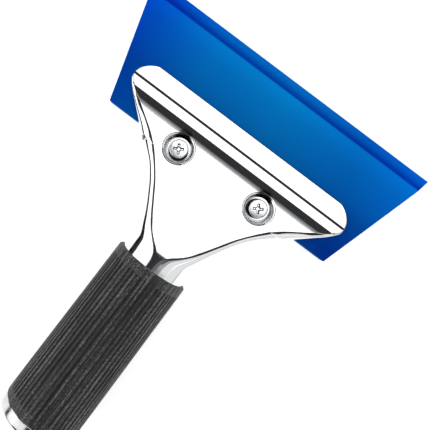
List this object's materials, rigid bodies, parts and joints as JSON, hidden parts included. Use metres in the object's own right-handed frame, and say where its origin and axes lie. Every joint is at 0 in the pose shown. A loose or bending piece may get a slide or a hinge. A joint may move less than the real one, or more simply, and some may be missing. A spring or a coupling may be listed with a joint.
{
  "type": "squeegee applicator",
  "caption": "Hand squeegee applicator: bevelled trapezoid polyurethane blade clamped in a pressed steel jaw and neck with a ribbed rubber grip.",
  "frame": {"origin": "centre of the whole tool's bounding box, on the plane where the two pressed shells meet", "axes": "+X along the blade, +Y from the open end of the handle to the working edge, +Z out of the face that carries the screw heads"},
  "size_m": [0.127, 0.16, 0.0308],
  "materials": {
    "polished_steel": "bright polished stainless sheet with faint rolling lines",
    "plated_steel": "bright zinc plate",
    "blue_urethane": "smooth semi-gloss cast polyurethane, slightly translucent",
    "black_rubber": "matte ribbed moulded rubber"
  },
  "bodies": {
    "handle": {"front_shell": "polished_steel", "rear_shell": "polished_steel", "grip_sleeve": "black_rubber", "end_ferrule": "polished_steel", "clinch_nut_left": "plated_steel", "clinch_nut_right": "plated_steel"},
    "blade": {"blade": "blue_urethane"},
    "washer_left": {"washer_left": "plated_steel"},
    "screw_left": {"screw_left": "plated_steel"},
    "washer_right": {"washer_right": "plated_steel"},
    "screw_right": {"screw_right": "plated_steel"}
  },
  "joints": [
    {"name": "blade_release", "type": "slide", "parent": "handle", "child": "blade", "axis": [0, 1, 0], "range_m": [0, 0.024]},
    {"name": "screw_left_rise", "type": "slide", "parent": "handle", "child": "washer_left", "axis": [0, 0, 1], "range_m": [0, 0.0014]},
    {"name": "screw_left_turn", "type": "hinge", "parent": "washer_left", "child": "screw_left", "pos_m": [-0.018, 0.0333, 0], "axis": [0, 0, 1], "range_deg": [0, 720]},
    {"name": "screw_right_rise", "type": "slide", "parent": "handle", "child": "washer_right", "axis": [0, 0, 1], "range_m": [0, 0.0014]},
    {"name": "screw_right_turn", "type": "hinge", "parent": "washer_right", "child": "screw_right", "pos_m": [0.018, 0.0333, 0], "axis": [0, 0, 1], "range_deg": [0, 720]}
  ],
  "couplings": [
    {"joint": "screw_left_turn", "follows": "screw_left_rise", "rad_per_m": 8976},
    {"joint": "screw_right_turn", "follows": "screw_right_rise", "rad_per_m": 8976}
  ]
}
